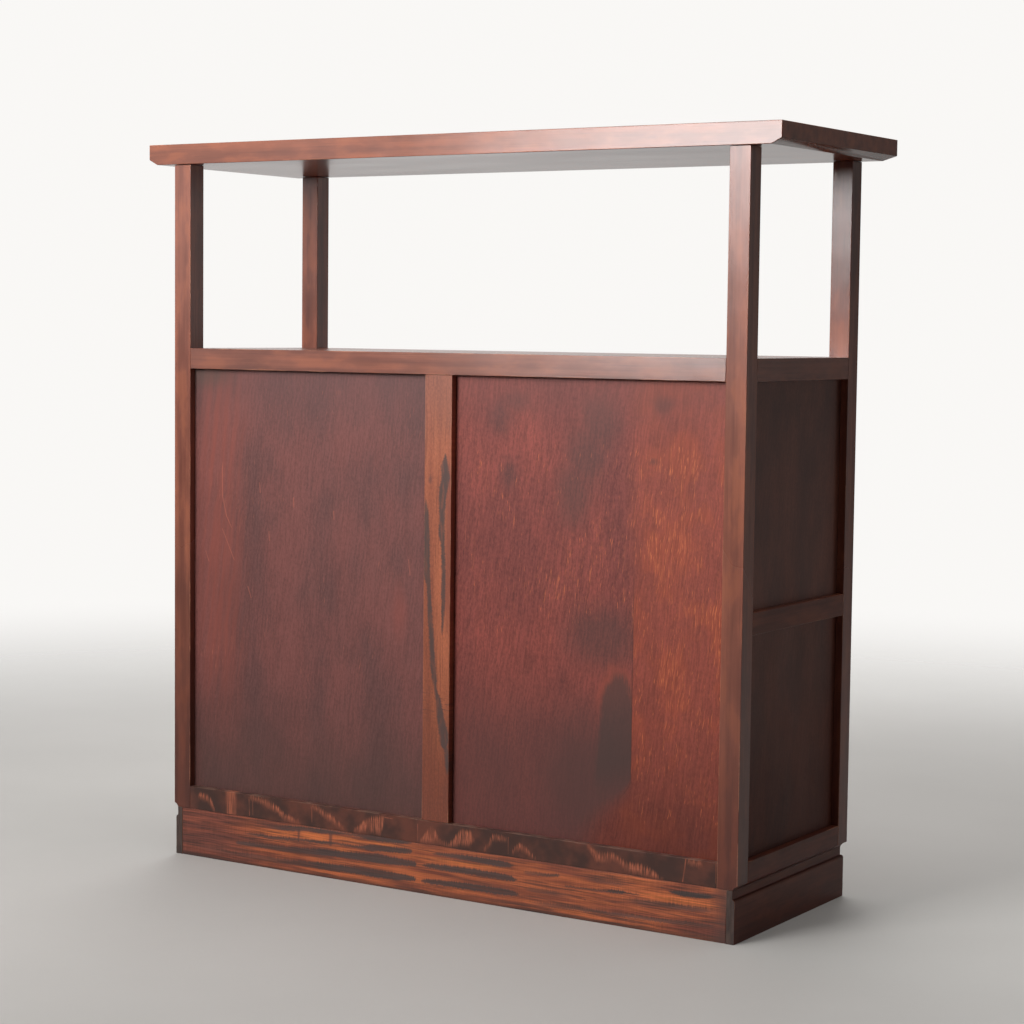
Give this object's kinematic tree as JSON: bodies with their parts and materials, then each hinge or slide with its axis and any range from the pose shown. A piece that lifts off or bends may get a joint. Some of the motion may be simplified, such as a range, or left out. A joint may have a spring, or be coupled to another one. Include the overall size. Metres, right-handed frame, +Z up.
{
  "type": "display shelf",
  "caption": "Lacquered hardwood display shelf: an open tier under a thick slab top, over a cabinet with a pair of framed doors, on a moulded plinth.",
  "frame": {"origin": "on the floor, under the middle of the top slab", "axes": "+Z up; -Y is the front with the doors, +Y the back; +X is the right-hand side seen from the front"},
  "size_m": [1.041, 0.358, 1.06],
  "materials": {
    "lacquered_wood": "red-brown lacquer, glossy",
    "stained_veneer": "dark red stain under thin lacquer, satin",
    "scraped_wood": "striped hardwood, stain scraped back",
    "inner_wood": "plain, unlacquered",
    "aged_brass": "aged, softly polished on the high spots"
  },
  "bodies": {
    "carcass": {"top_slab": "lacquered_wood", "post_front_left": "lacquered_wood", "post_front_right": "lacquered_wood", "post_rear_left": "lacquered_wood", "post_rear_right": "lacquered_wood", "rear_top_rail": "lacquered_wood", "rear_bottom_rail": "lacquered_wood", "rear_mid_stile": "lacquered_wood", "rear_panel_left": "stained_veneer", "rear_panel_right": "stained_veneer", "left_top_rail": "lacquered_wood", "left_mid_rail": "lacquered_wood", "left_bottom_rail": "lacquered_wood", "left_upper_panel": "stained_veneer", "left_lower_panel": "stained_veneer", "right_top_rail": "lacquered_wood", "right_mid_rail": "lacquered_wood", "right_bottom_rail": "lacquered_wood", "right_upper_panel": "stained_veneer", "right_lower_panel": "stained_veneer", "front_top_rail": "lacquered_wood", "front_bottom_rail": "lacquered_wood", "door_stop": "inner_wood", "display_shelf": "lacquered_wood", "inner_shelf": "inner_wood", "floor_board": "inner_wood", "plinth_front": "lacquered_wood", "plinth_left": "lacquered_wood", "plinth_right": "lacquered_wood", "plinth_rear": "scraped_wood", "plinth_block_front_left": "inner_wood", "plinth_block_front_right": "inner_wood", "plinth_block_rear_left": "inner_wood", "plinth_block_rear_right": "inner_wood", "hinge_left_upper_post_leaf": "aged_brass", "hinge_left_lower_post_leaf": "aged_brass", "hinge_right_upper_post_leaf": "aged_brass", "hinge_right_lower_post_leaf": "aged_brass"},
    "door_left": {"door_left_hinge_stile": "lacquered_wood", "door_left_meeting_stile": "lacquered_wood", "door_left_top_rail": "lacquered_wood", "door_left_mid_rail": "lacquered_wood", "door_left_bottom_rail": "lacquered_wood", "door_left_upper_panel": "stained_veneer", "door_left_lower_panel": "stained_veneer", "hinge_left_upper_door_leaf": "aged_brass", "hinge_left_lower_door_leaf": "aged_brass", "pull_plate_left": "aged_brass"},
    "door_right": {"door_right_hinge_stile": "lacquered_wood", "door_right_meeting_stile": "lacquered_wood", "door_right_top_rail": "lacquered_wood", "door_right_mid_rail": "lacquered_wood", "door_right_bottom_rail": "lacquered_wood", "door_right_upper_panel": "stained_veneer", "door_right_lower_panel": "stained_veneer", "hinge_right_upper_door_leaf": "aged_brass", "hinge_right_lower_door_leaf": "aged_brass", "pull_plate_right": "aged_brass"},
    "ring_left": {"pull_ring_left": "aged_brass"},
    "ring_right": {"pull_ring_right": "aged_brass"}
  },
  "joints": [
    {"name": "door_left_hinge", "type": "hinge", "parent": "carcass", "child": "door_left", "pos_m": [-0.444, -0.1677, 0.107], "axis": [0, 0, -1], "range_deg": [0, 170]},
    {"name": "door_right_hinge", "type": "hinge", "parent": "carcass", "child": "door_right", "pos_m": [0.444, -0.1677, 0.107], "axis": [0, 0, 1], "range_deg": [0, 170]},
    {"name": "ring_left_hinge", "type": "hinge", "parent": "door_left", "child": "ring_left", "pos_m": [-0.0235, -0.1696, 0.455], "axis": [-1, 0, 0], "range_deg": [0, 165]},
    {"name": "ring_right_hinge", "type": "hinge", "parent": "door_right", "child": "ring_right", "pos_m": [0.0235, -0.1696, 0.455], "axis": [-1, 0, 0], "range_deg": [0, 165]}
  ]
}
